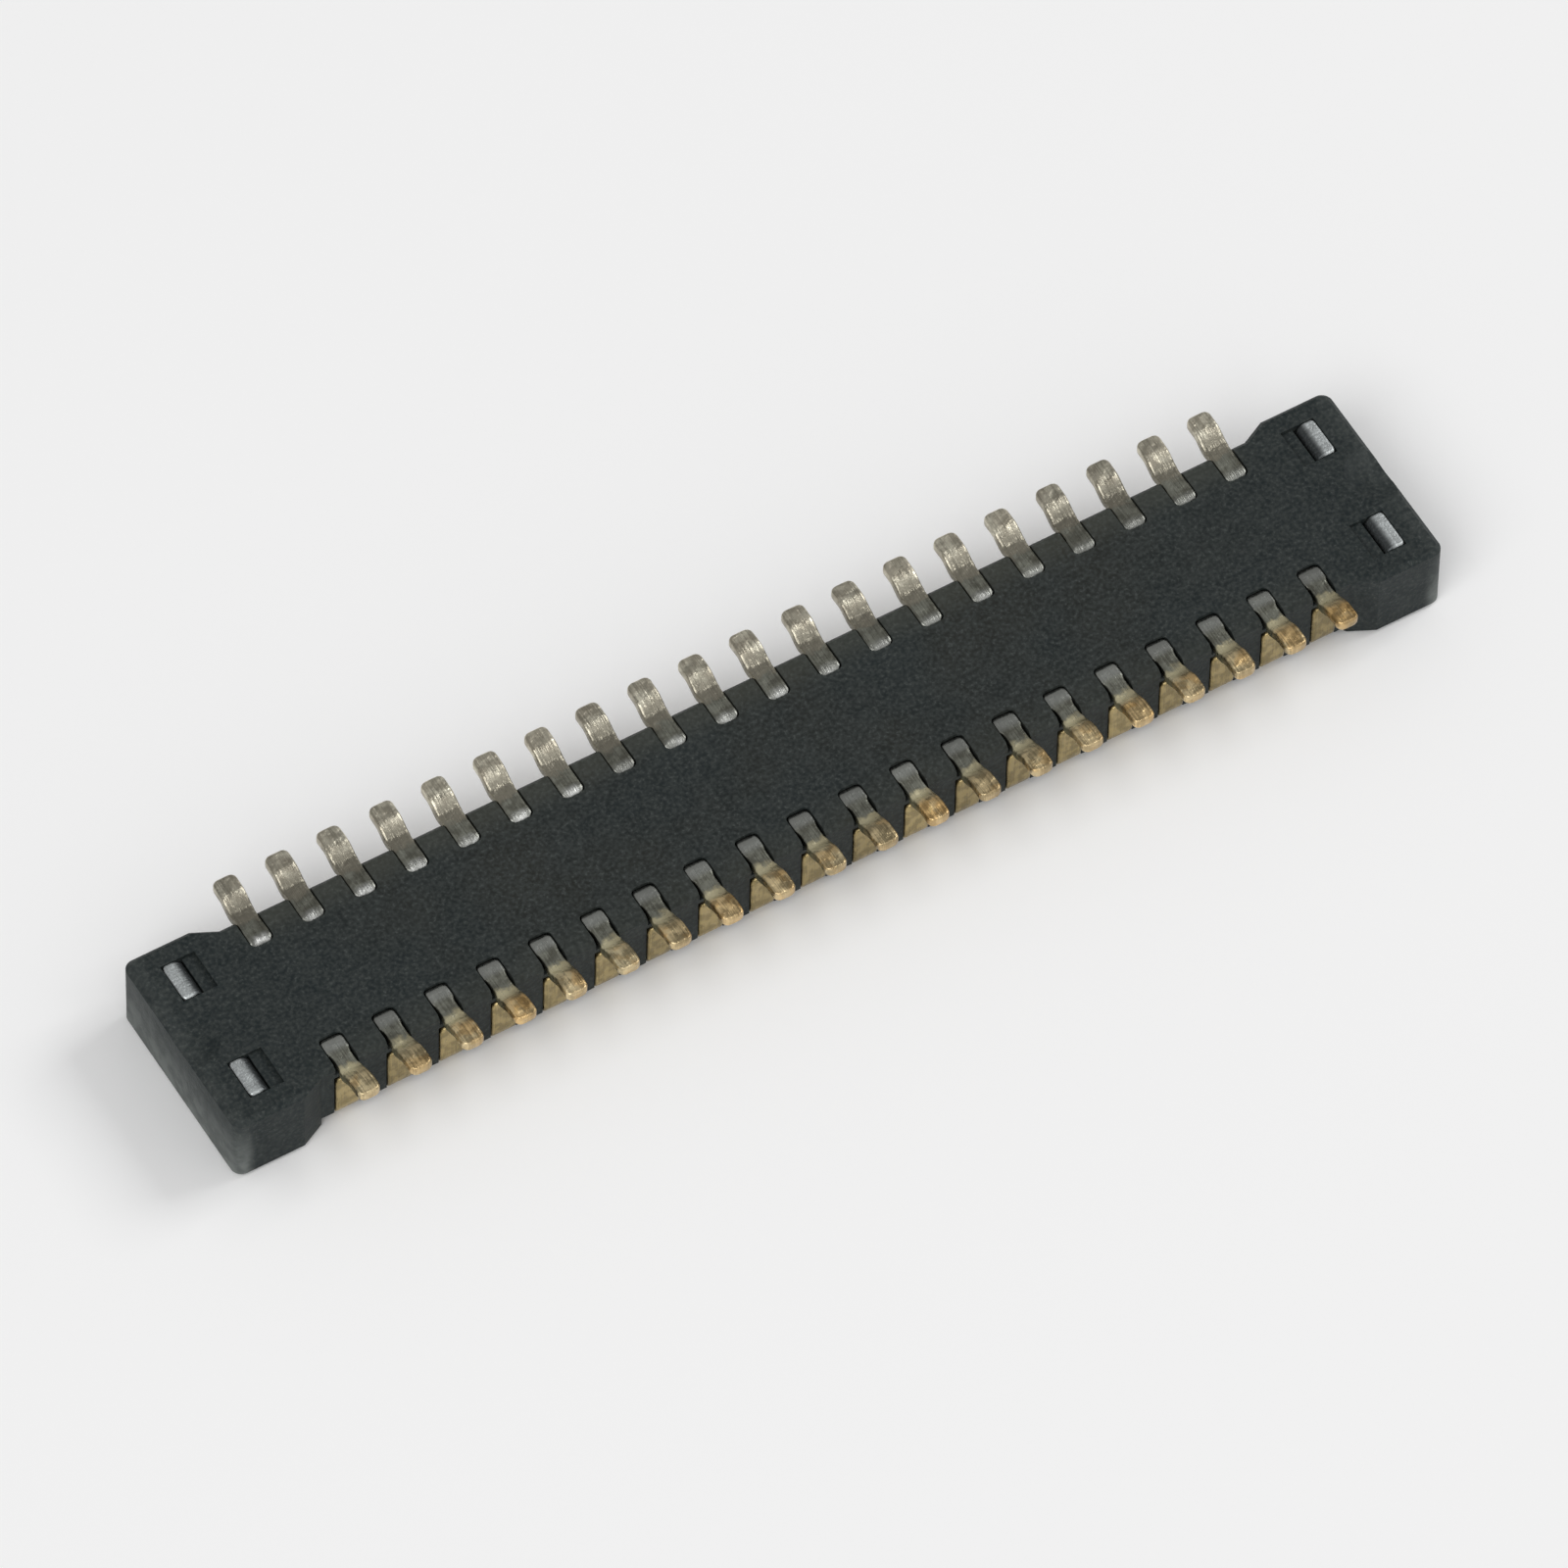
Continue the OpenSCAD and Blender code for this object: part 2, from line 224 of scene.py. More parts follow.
# Studio, in metres and watts; the surround goes from dim behind to bright in front
FLOOR_HALF = 0.5
SURROUND_BACK = 0.36
SURROUND_FRONT = 0.7
SURROUND_FROM, SURROUND_TO = 0.05, -0.6
SOFTBOX_DISTANCE = 0.2
# Each softbox: its direction, the side of its square, and its power
SOFTBOXES = (
    ((0.75, 0.0, 0.66), 0.09, 0.13),
    ((-0.60, -0.35, 0.72), 0.12, 0.15),
)

# Camera, found from the rows of contacts in a square picture
IMAGE_PX = 1600
CAMERA_AZIMUTH = -31.8
CAMERA_ELEVATION = 55.1
CAMERA_ROLL = 1.38
CAMERA_DISTANCE = 134.0
PIXELS_PER_MM = 152.1
AIM_POINT = (0.0, 0.0, 0.34)
AIM_PIXEL = (803.8, 793.5)
SENSOR_MM = 36.0
CLIP_NEAR, CLIP_FAR = 0.001, 10.0


# Geometry helpers

def cad_box_mm(node):
    """Lowest and highest corner of a CAD node, in millimetres."""
    low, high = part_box(node)
    return np.array(low) / MM, np.array(high) / MM


def new_piece(name, vertices, faces, material, replaced):
    """One mesh piece on the root body, from points in millimetres, standing for one CAD node."""
    mesh = bpy.data.meshes.new(name)
    mesh.from_pydata((vertices * MM).tolist(), [], faces)
    return dress_piece(name, mesh, material, replaced)


def dress_piece(name, mesh, material, replaced):
    """Gives a finished mesh its object, smooth shading, material and body, and hides the CAD node it
    replaces.
    """
    mesh.validate()
    mesh.polygons.foreach_set("use_smooth", np.ones(len(mesh.polygons), bool))
    mesh.materials.clear()
    mesh.materials.append(material)
    piece = bpy.data.objects.new(name, mesh)
    bpy.context.scene.collection.objects.link(piece)
    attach(piece, "root")
    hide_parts(replaced)
    return piece


def point_attribute(piece, name, values):
    """Stores one number for each vertex under a name that the material reads."""
    attribute = piece.data.attributes.new(name, "FLOAT", "POINT")
    attribute.data.foreach_set("value", np.asarray(values, np.float32))


def formed_path(runs, corner_r):
    """Stations along a folded strip's centre line, and its heading at the joints between runs.

    Each run is (length, angle): a straight has angle 0, and a fold turns through its angle over its
    length at one curvature. The heading at a joint is the sum of the turns so far.
    """
    lengths = np.array([run[0] for run in runs])
    turns = np.radians([run[1] for run in runs])
    joints = np.concatenate([[0.0], np.cumsum(lengths)])
    headings = np.concatenate([[0.0], np.cumsum(turns)])
    steps = np.maximum(
        np.ceil(lengths / RUN_STEP), np.ceil(np.abs(np.degrees(turns)) / FOLD_STEP)
    ).astype(int)
    along = np.unique(np.concatenate([
        np.linspace(joints[k], joints[k + 1], steps[k] + 1) for k in range(len(runs))
    ] + [end_rounding(joints[-1], corner_r)]))
    return along, joints, headings


def end_rounding(total, corner_r):
    """Extra stations close to both ends, where corners and edges are rounded."""
    phi = np.radians(np.linspace(0.0, 90.0, END_STATIONS))
    first, last = [
        np.concatenate([radius * (1.0 - np.cos(phi)) for radius in (STRIP_EDGE_R, corner)])
        for corner in corner_r
    ]
    return np.concatenate([first, total - last])


def place_on_path(along, joints, headings):
    """Points and upper-side normals of the centre line at given distances along it.

    The heading runs straight from joint to joint, and each step moves by its chord along the heading
    at its middle.
    """
    heading = np.interp(along, joints, headings)
    middle = 0.5 * (heading[1:] + heading[:-1])
    turn = np.diff(heading)
    chord = np.diff(along) * np.sinc(turn / (2.0 * np.pi))
    step = np.stack([chord * np.cos(middle), chord * np.sin(middle)], axis=-1)
    points = np.concatenate([np.zeros((1, 2)), np.cumsum(step, axis=0)])
    normals = np.stack([-np.sin(heading), np.cos(heading)], axis=-1)
    return points, normals


def stepped_width(along, first, changes):
    """Half width along the strip: smooth steps from one width to the next over a short blend."""
    half = np.full_like(along, first / 2.0)
    before = first
    for place, after in changes:
        t = np.clip((along - place) / (2.0 * WIDTH_BLEND) + 0.5, 0.0, 1.0)
        half += (after - before) / 2.0 * t * t * (3.0 - 2.0 * t)
        before = after
    return half


def rounded_end(distance, radius):
    """How much a half width loses near an end whose corners are quarter circles."""
    near = np.clip(radius - distance, 0.0, radius)
    return radius - np.sqrt(radius * radius - near * near)


def strip_sections(half_w, half_t, edge_r):
    """Rings of a rectangle with rounded corners, one ring per station.

    Each corner is a quarter circle of radius edge_r, with one more point on each flat beside it so
    that the flats stay flat when shaded. Returns offsets across and through the strip.
    """
    quarter = np.linspace(0.0, 0.5 * np.pi, CORNER_POINTS)
    across, through = [], []
    for corner in range(4):
        angle = quarter + corner * 0.5 * np.pi
        side = math.copysign(1.0, math.cos(angle.mean()))
        face = math.copysign(1.0, math.sin(angle.mean()))
        middle_a = side * (half_w - edge_r)
        middle_t = face * (half_t - edge_r)
        arc_a = middle_a[:, None] + edge_r[:, None] * np.cos(angle)
        arc_t = middle_t[:, None] + edge_r[:, None] * np.sin(angle)
        before = np.stack([arc_a[:, 0], arc_t[:, 0]])
        after = np.stack([arc_a[:, -1], arc_t[:, -1]])
        gap = np.minimum(SUPPORT_GAP, SUPPORT_SHARE * np.minimum(half_w, half_t))
        on_side = corner % 2 == 0
        lead = (0.0, -face * gap) if on_side else (-side * gap, 0.0)
        trail = (-side * gap, 0.0) if on_side else (0.0, -face * gap)
        across.append(np.column_stack([before[0] + lead[0], arc_a, after[0] + trail[0]]))
        through.append(np.column_stack([before[1] + lead[1], arc_t, after[1] + trail[1]]))
    return np.concatenate(across, axis=1), np.concatenate(through, axis=1)


def swept_strip(runs, width, changes, thickness, corner_r):
    """A stamped strip with rounded edges, carried along its folded centre line and closed at both ends.

    Returns points as (forward, across, up) with the start at the origin, faces, and for every point
    its distance along and its share across (-1 to 1).
    """
    along, joints, headings = formed_path(runs, corner_r)
    points, normals = place_on_path(along, joints, headings)
    total = joints[-1]
    half_w = stepped_width(along, width, changes)
    half_w = half_w - rounded_end(along, corner_r[0]) - rounded_end(total - along, corner_r[1])
    inset = rounded_end(along, STRIP_EDGE_R) + rounded_end(total - along, STRIP_EDGE_R)
    half_t = np.full_like(along, thickness / 2.0) - inset
    edge_r = np.maximum(STRIP_EDGE_R - inset, LEAST_EDGE_R)
    across, through = strip_sections(half_w - inset, half_t, edge_r)
    rings, count = across.shape
    forward = points[:, :1] + through * normals[:, :1]
    up = points[:, 1:] + through * normals[:, 1:]
    vertices = np.stack([forward, across, up], axis=-1).reshape(-1, 3)
    ring = np.arange(rings - 1)[:, None] * count
    k = np.arange(count)[None, :]
    nxt = (k + 1) % count
    quads = np.stack([ring + k, ring + nxt, ring + count + nxt, ring + count + k], axis=-1)
    faces = quads.reshape(-1, 4).tolist()
    faces.append(list(range(count))[::-1])
    faces.append([(rings - 1) * count + j for j in range(count)])
    shares = np.repeat(along, count), (across / np.abs(across).max()).ravel()
    return vertices, faces, shares


def fold(angle, r_in, thickness):
    """A fold as a run: its length is the arc of its middle line."""
    return (math.radians(abs(angle)) * (r_in + thickness / 2.0), angle)


# Contacts

CONTACTS_PER_ROW = sum(name.startswith("contact_front_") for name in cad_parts)


def contact_runs():
    """Straights and folds of a contact from its solder foot to the outer leg's free end."""
    low, high = cad_box_mm("contact_rear_01")
    tail_mid_r = TAIL_FOLD_R + STRIP_T / 2.0
    slope = math.radians(TAIL_SLOPE)
    slope_len = (TAIL_RISE - 2.0 * tail_mid_r * (1.0 - math.cos(slope))) / math.sin(slope)
    slope_run = 2.0 * tail_mid_r * math.sin(slope) + slope_len * math.cos(slope)
    neck_fold_y = low[1] + STRIP_T + NECK_FOLD_R
    neck_under_z = high[2] - TAIL_RISE - STRIP_T
    arch_mid_z = low[2] + STRIP_T + ARCH_R
    neck_len = high[1] - FOOT_LEN - slope_run - neck_fold_y
    inner_leg = neck_under_z - NECK_FOLD_R - arch_mid_z
    outer_leg = neck_under_z - LEG_END_GAP - arch_mid_z
    return [
        (FOOT_LEN, 0.0),
        fold(-TAIL_SLOPE, TAIL_FOLD_R, STRIP_T),
        (slope_len, 0.0),
        fold(TAIL_SLOPE, TAIL_FOLD_R, STRIP_T),
        (neck_len, 0.0),
        fold(-90.0, NECK_FOLD_R, STRIP_T),
        (inner_leg, 0.0),
        fold(-180.0, ARCH_R, STRIP_T),
        (outer_leg, 0.0),
    ]


def contact_folds():
    """Distances along a contact to its neck's start, and to the next fold's start and end."""
    run_ends = np.cumsum([run[0] for run in contact_runs()])
    return run_ends[3:6]


def contact_pieces(material):
    """Both rows of contacts: a strip for each, set into its CAD contact's place and turned for its row.

    A head differs by a hair in width from the next, and narrows down the fold to a round end. A tail
    leans aside and down by a hair: the offset grows from nothing at the wall to its full value at the
    foot's end, as the square of the distance.
    """
    runs = contact_runs()
    neck_start, fold_start, fold_end = contact_folds()
    rng = np.random.default_rng(DRAW_SEED)
    rows = (
        ("front", -1.0, FRONT_TAIL_W, FRONT_WAIST_W),
        ("rear", 1.0, REAR_TAIL_W, REAR_WAIST_W),
    )
    for row, turn, tail_w, waist_w in rows:
        for number in range(1, CONTACTS_PER_ROW + 1):
            node = f"contact_{row}_{number:02d}"
            low, high = cad_box_mm(node)
            middle_x = (low[0] + high[0]) / 2.0
            foot_y = high[1] if turn > 0 else low[1]
            foot_z = high[2] - STRIP_T / 2.0
            head_w = HEAD_W + HEAD_SPREAD * rng.uniform(-1.0, 1.0)
            changes = [
                (neck_start + 0.5 * WIDTH_BLEND, waist_w),
                (fold_start - HEAD_LEN, head_w),
                (fold_start + HEAD_ROUND_AT, HEAD_ROUND_TO * head_w),
                (fold_end + WIDTH_BLEND, LEG_W),
            ]
            strip, faces, (along, across) = swept_strip(
                runs, tail_w, changes, STRIP_T, (FOOT_CORNER_R, LEG_CORNER_R)
            )
            lean = np.clip(1.0 - along / neck_start, 0.0, 1.0) ** 2
            aside = rng.uniform(-1.0, 1.0) * TAIL_LEAN
            lower = rng.random() * TAIL_LEAN
            vertices = np.column_stack([
                middle_x + turn * strip[:, 1] + aside * lean,
                foot_y - turn * strip[:, 0],
                foot_z + strip[:, 2] - lower * lean,
            ])
            piece = new_piece(f"formed_{node}", vertices, faces, material, node)
            # Orange-tinted gold, partly a tint and partly painted orange highlights, fully on every so
            # many tails
            warm_glint = 1.0 if number % WARM_GLINT_EVERY == 0 else WARM_GLINT_LIMIT * rng.random()
            # Painted highlight on the rear heads, by a share that falls with the contact's number
            head_highlight = rng.uniform(HIGHLIGHT_LEAST, HIGHLIGHT_MOST) * (1.0 - (number - 1) / CONTACTS_PER_ROW)
            one = np.ones(len(vertices))
            point_attribute(piece, "along", along)
            point_attribute(piece, "across", -turn * across)
            point_attribute(piece, "front", one if row == "front" else 0.0 * one)
            point_attribute(piece, "warm_glint", warm_glint * one)
            point_attribute(piece, "head_highlight", 0.0 * one if row == "front" else head_highlight * one)
            point_attribute(piece, "lot", rng.random() * one)


# Hold-downs

def hold_down_pieces(material):
    """A hold-down at each end: two folded feet on a buried bar, all three swept from the same sheet."""
    for node, turn in (("hold_down_left", -1.0), ("hold_down_right", 1.0)):
        low, high = cad_box_mm(node)
        depth = high[2] - HOLD_T - HOLD_FOLD_R - low[2]
        runs = [(HOLD_FOOT_LEN, 0.0), fold(-90.0, HOLD_FOLD_R, HOLD_T), (depth, 0.0)]
        foot, foot_faces, foot_shares = swept_strip(
            runs, HOLD_FOOT_W, [], HOLD_T, (HOLD_CORNER_R, HOLD_CORNER_R)
        )
        bar, bar_faces, bar_shares = swept_strip(
            [(high[1] - low[1], 0.0)], BAR_H, [], HOLD_T, (BAR_CORNER_R, BAR_CORNER_R)
        )
        foot_x, bar_x = (high[0], low[0]) if turn > 0 else (low[0], high[0])
        parts = [np.column_stack([
            foot_x - turn * foot[:, 0],
            side * HOLD_SPAN / 2.0 - turn * foot[:, 1],
            high[2] - HOLD_T / 2.0 + foot[:, 2],
        ]) for side in (-1.0, 1.0)]
        parts.append(np.column_stack([
            bar_x + turn * (HOLD_T / 2.0 + bar[:, 2]),
            -turn * ((high[1] - low[1]) / 2.0 - bar[:, 0]),
            low[2] + BAR_H / 2.0 + bar[:, 1],
        ]))
        faces, first = [], 0
        for part, part_faces in zip(parts, (foot_faces, foot_faces, bar_faces)):
            faces += [[first + corner for corner in face] for face in part_faces]
            first += len(part)
        piece = new_piece(
            f"folded_{node}", np.concatenate(parts), faces, material, node
        )
        shares = (foot_shares, foot_shares, bar_shares)
        point_attribute(piece, "along", np.concatenate([share[0] for share in shares]))
        point_attribute(piece, "across", np.concatenate([share[1] for share in shares]))


# Housing

def mark_end_rims(shell):
    """Marks for rounding both edges of the chamfer round the end blocks' tops.

    A chamfer face leans by half a right angle, and its edges to the top and to the sides are the ones
    that lie level.
    """
    weight = shell.edges.layers.float.new("bevel_weight_edge")
    top = max(vertex.co.z for vertex in shell.verts)
    for edge in shell.edges:
        first, second = edge.verts
        level = abs(first.co.z - second.co.z) < LEVEL_LIMIT
        outside = min(abs(first.co.x), abs(second.co.x)) > RIM_FROM_X
        high = first.co.z > top - RIM_DEPTH
        if level and outside and high and len(edge.link_faces) == 2:
            lower, upper = sorted(face.normal.z for face in edge.link_faces)
            to_top = abs(lower - CHAMFER_LEAN) < LEAN_LIMIT and abs(upper - 1.0) < LEAN_LIMIT
            to_side = abs(upper - CHAMFER_LEAN) < LEAN_LIMIT and abs(lower) < LEAN_LIMIT
            if to_top or to_side:
                edge[weight] = 1.0


def add_rounding(block, name, width, steps, limit_method):
    """A bevel that rounds edges and keeps the faces between them flat when shaded."""
    bevel = block.modifiers.new(name, "BEVEL")
    bevel.width = width
    bevel.segments = steps
    bevel.limit_method = limit_method
    bevel.harden_normals = True
    return bevel


def housing_piece(material):
    """The moulded housing: the CAD form with its edges rounded as a mould leaves them."""
    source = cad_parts["housing"].data
    points = np.empty(len(source.vertices) * 3, np.float32)
    source.vertices.foreach_get("co", points)
    corners = np.empty(len(source.loops), np.int32)
    source.loops.foreach_get("vertex_index", corners)
    mesh = bpy.data.meshes.new("housing_in_mm")
    mesh.from_pydata((points.reshape(-1, 3) / MM).tolist(), [], corners.reshape(-1, 3).tolist())
    shell = bmesh.new()
    shell.from_mesh(mesh)
    bmesh.ops.remove_doubles(shell, verts=shell.verts, dist=MERGE_DISTANCE)
    bmesh.ops.dissolve_limit(
        shell, angle_limit=math.radians(FLAT_ANGLE), verts=shell.verts, edges=shell.edges
    )
    mark_end_rims(shell)
    shell.to_mesh(mesh)
    shell.free()
    mesh.polygons.foreach_set("use_smooth", np.ones(len(mesh.polygons), bool))
    mesh.set_sharp_from_angle(angle=math.radians(CRISP_EDGE_ANGLE))
    block = bpy.data.objects.new("housing_in_mm", mesh)
    bpy.context.scene.collection.objects.link(block)
    add_rounding(block, "end_rims", RIM_EDGE_R, RIM_EDGE_STEPS, "WEIGHT")
    edges = add_rounding(block, "mould_edges", MOULD_EDGE_R, MOULD_EDGE_STEPS, "ANGLE")
    edges.angle_limit = math.radians(MOULD_EDGE_ANGLE)
    view = bpy.context.evaluated_depsgraph_get()
    finished = bpy.data.meshes.new_from_object(block.evaluated_get(view))
    bpy.data.objects.remove(block)
    bpy.data.meshes.remove(mesh)
    finished.transform(Matrix.Scale(MM, 4))
    finished.name = "moulded_housing"
    return dress_piece("moulded_housing", finished, material, "housing")


# Materials

def shader_node(tree, kind, inputs=None, **settings):
    """One shader node with its settings, and with its inputs set to values or linked to sockets."""
    node = tree.nodes.new(kind)
    for key, value in settings.items():
        setattr(node, key, value)
    for name, value in (inputs or {}).items():
        if isinstance(value, bpy.types.NodeSocket):
            tree.links.new(value, node.inputs[name])
        else:
            node.inputs[name].default_value = value
    return node


def math_node(tree, operation, first, second=0.0, third=0.0):
    """A sum, product or other calculation on up to three values."""
    return shader_node(
        tree, "ShaderNodeMath", {0: first, 1: second, 2: third}, operation=operation
    ).outputs[0]


def ramp(tree, value, low, high, start=0.0, end=1.0):
    """A smooth step from start to end while the value goes from low to high."""
    return shader_node(
        tree, "ShaderNodeMapRange",
        {"Value": value, "From Min": low, "From Max": high, "To Min": start, "To Max": end},
        interpolation_type="SMOOTHSTEP",
    ).outputs["Result"]


def blend(tree, share, first, second, blend_type="MIX"):
    """The first colour, changed into the second by a share."""
    colors = {
        6: first if isinstance(first, bpy.types.NodeSocket) else (*first, 1.0),
        7: second if isinstance(second, bpy.types.NodeSocket) else (*second, 1.0),
    }
    return shader_node(
        tree, "ShaderNodeMix", {0: share, **colors}, data_type="RGBA", blend_type=blend_type
    ).outputs[2]


def new_group(name, inputs, outputs):
    """An empty shader node group with its named sockets, and its two ends."""
    tree = bpy.data.node_groups.new(name, "ShaderNodeTree")
    for socket, kind in inputs:
        tree.interface.new_socket(socket, in_out="INPUT", socket_type=kind)
    for socket in outputs:
        tree.interface.new_socket(socket, in_out="OUTPUT", socket_type="NodeSocketFloat")
    return tree, tree.nodes.new("NodeGroupInput"), tree.nodes.new("NodeGroupOutput")


def surface_mottle_group():
    """Clouds and fine grain on a surface: two noises of different sizes, each from 0 to 1."""
    tree, given, result = new_group(
        "surface_mottle",
        [("Position", "NodeSocketVector"), ("Cloud Scale", "NodeSocketFloat"),
         ("Grain Scale", "NodeSocketFloat")],
        ["Cloud", "Grain"],
    )
    for output, detail in (("Cloud", CLOUD_DETAIL), ("Grain", GRAIN_DETAIL)):
        noise = shader_node(tree, "ShaderNodeTexNoise", {
            "Vector": given.outputs["Position"],
            "Scale": given.outputs[f"{output} Scale"],
            "Detail": detail,
        })
        tree.links.new(ramp(tree, noise.outputs[0], NOISE_FROM, NOISE_TO), result.inputs[output])
    return tree


def rolled_lines_group():
    """Fine lines along a rolled strip: noise drawn out along it, from 0 to 1."""
    tree, given, result = new_group(
        "rolled_lines",
        [("Along", "NodeSocketFloat"), ("Across", "NodeSocketFloat"), ("Lot", "NodeSocketFloat")],
        ["Lines"],
    )
    place = shader_node(tree, "ShaderNodeCombineXYZ", {
        0: math_node(tree, "MULTIPLY", given.outputs["Along"], LINE_WAVES_ALONG),
        1: math_node(tree, "MULTIPLY", given.outputs["Across"], LINE_WAVES_ACROSS),
        2: math_node(tree, "MULTIPLY", given.outputs["Lot"], LOT_STEP),
    })
    noise = shader_node(tree, "ShaderNodeTexNoise", {
        "Vector": place.outputs[0], "Scale": 1.0, "Detail": LINE_DETAIL, "Roughness": LINE_ROUGHNESS,
    })
    tree.links.new(ramp(tree, noise.outputs[0], NOISE_FROM, NOISE_TO), result.inputs["Lines"])
    return tree


def new_material(name):
    """A node material with its Principled shader and the piece's position in millimetres."""
    material = bpy.data.materials.new(name)
    material.use_nodes = True
    tree = material.node_tree
    coordinates = shader_node(tree, "ShaderNodeTexCoord")
    position = shader_node(tree, "ShaderNodeMapping", {
        "Vector": coordinates.outputs["Object"], "Scale": (1.0 / MM, 1.0 / MM, 1.0 / MM),
    })
    return material, tree, tree.nodes["Principled BSDF"], position.outputs["Vector"]


def attribute(tree, name):
    """A number that the piece carries at its vertices."""
    return shader_node(tree, "ShaderNodeAttribute", attribute_name=name).outputs["Fac"]


def placed_group(tree, name, inputs):
    """A shader node group placed in a material, with its inputs set or linked."""
    return shader_node(
        tree, "ShaderNodeGroup", inputs, node_tree=bpy.data.node_groups[name]
    ).outputs


def mottle(tree, position, cloud_scale, grain_scale):
    """The clouds and the grain of a surface."""
    result = placed_group(tree, "surface_mottle", {
        "Position": position, "Cloud Scale": cloud_scale, "Grain Scale": grain_scale,
    })
    return result["Cloud"], result["Grain"]


def strip_lines(tree, along, across, lot):
    """The rolling lines of a strip."""
    return placed_group(tree, "rolled_lines", {"Along": along, "Across": across, "Lot": lot})["Lines"]


def finish_surface(tree, shader, color, rough, height, depth_mm):
    """Gives a shader its colour, its roughness and a normal that follows a height."""
    normal = shader_node(tree, "ShaderNodeBump", {
        "Height": height, "Distance": depth_mm * MM, "Strength": BUMP_STRENGTH,
    }).outputs["Normal"]
    tree.links.new(color, shader.inputs["Base Color"])
    tree.links.new(rough, shader.inputs["Roughness"])
    tree.links.new(normal, shader.inputs["Normal"])


def plastic_material(top):
    """Dark filled plastic: clouds, pale specks, a matt grain, dusty walls, and a painted floor reflection
    on the ends.
    """
    material, tree, shader, position = new_material("moulded_plastic")
    cloud, grain = mottle(tree, position, PLASTIC_CLOUDS, PLASTIC_GRAIN)
    patch, speck = mottle(tree, position, PLASTIC_PATCHES, PLASTIC_SPECKS)
    axes = shader_node(tree, "ShaderNodeSeparateXYZ", {0: position}).outputs
    away = math_node(tree, "ABSOLUTE", axes["X"])
    middle = ramp(tree, away, *WARM_MIDDLE)
    color = blend(tree, math_node(tree, "MULTIPLY", cloud, middle), PLASTIC_COOL, PLASTIC_WARM)
    pale = math_node(tree, "MULTIPLY", patch, PATCH_SHARE)
    pale = math_node(tree, "MULTIPLY_ADD", grain, GRAIN_SHARE, pale)
    color = blend(tree, pale, color, PLASTIC_PALE)
    fleck = ramp(tree, math_node(tree, "MULTIPLY", speck, grain), *SPECKS)
    color = blend(tree, fleck, color, PLASTIC_SPECK)
    from_top = math_node(tree, "SUBTRACT", axes["Z"], top)
    walls = [ramp(tree, axes["Y"], *wall) for wall in (REAR_DUST, FRONT_DUST)]
    dust = math_node(tree, "ADD", *walls)
    dust = math_node(tree, "MULTIPLY", dust, ramp(tree, from_top, *DUST_DEPTH))
    dust = math_node(tree, "MULTIPLY", dust, ramp(tree, away, *DUST_ROWS))
    color = blend(tree, dust, color, PLASTIC_DUST)
    # Painted reflection of the bright floor on the end faces, paler down towards the rim
    floor_reflection = ramp(tree, axes["Z"], top, 0.0, TOP_FLOOR_REFLECTION, RIM_FLOOR_REFLECTION)
    floor_reflection = math_node(tree, "MULTIPLY", floor_reflection, ramp(tree, away, *FLOOR_REFLECTING_ENDS))
    floor_reflection = math_node(tree, "MULTIPLY", floor_reflection, ramp(tree, patch, *FLOOR_REFLECTION_PATCHES))
    color = blend(tree, floor_reflection, color, PLASTIC_FLOOR_REFLECTION)
    rough = ramp(tree, math_node(tree, "ADD", cloud, grain), *PLASTIC_ROUGH)
    finish_surface(tree, shader, color, rough, grain, PLASTIC_BUMP)
    shader.inputs["Specular IOR Level"].default_value = PLASTIC_SHINE
    return material


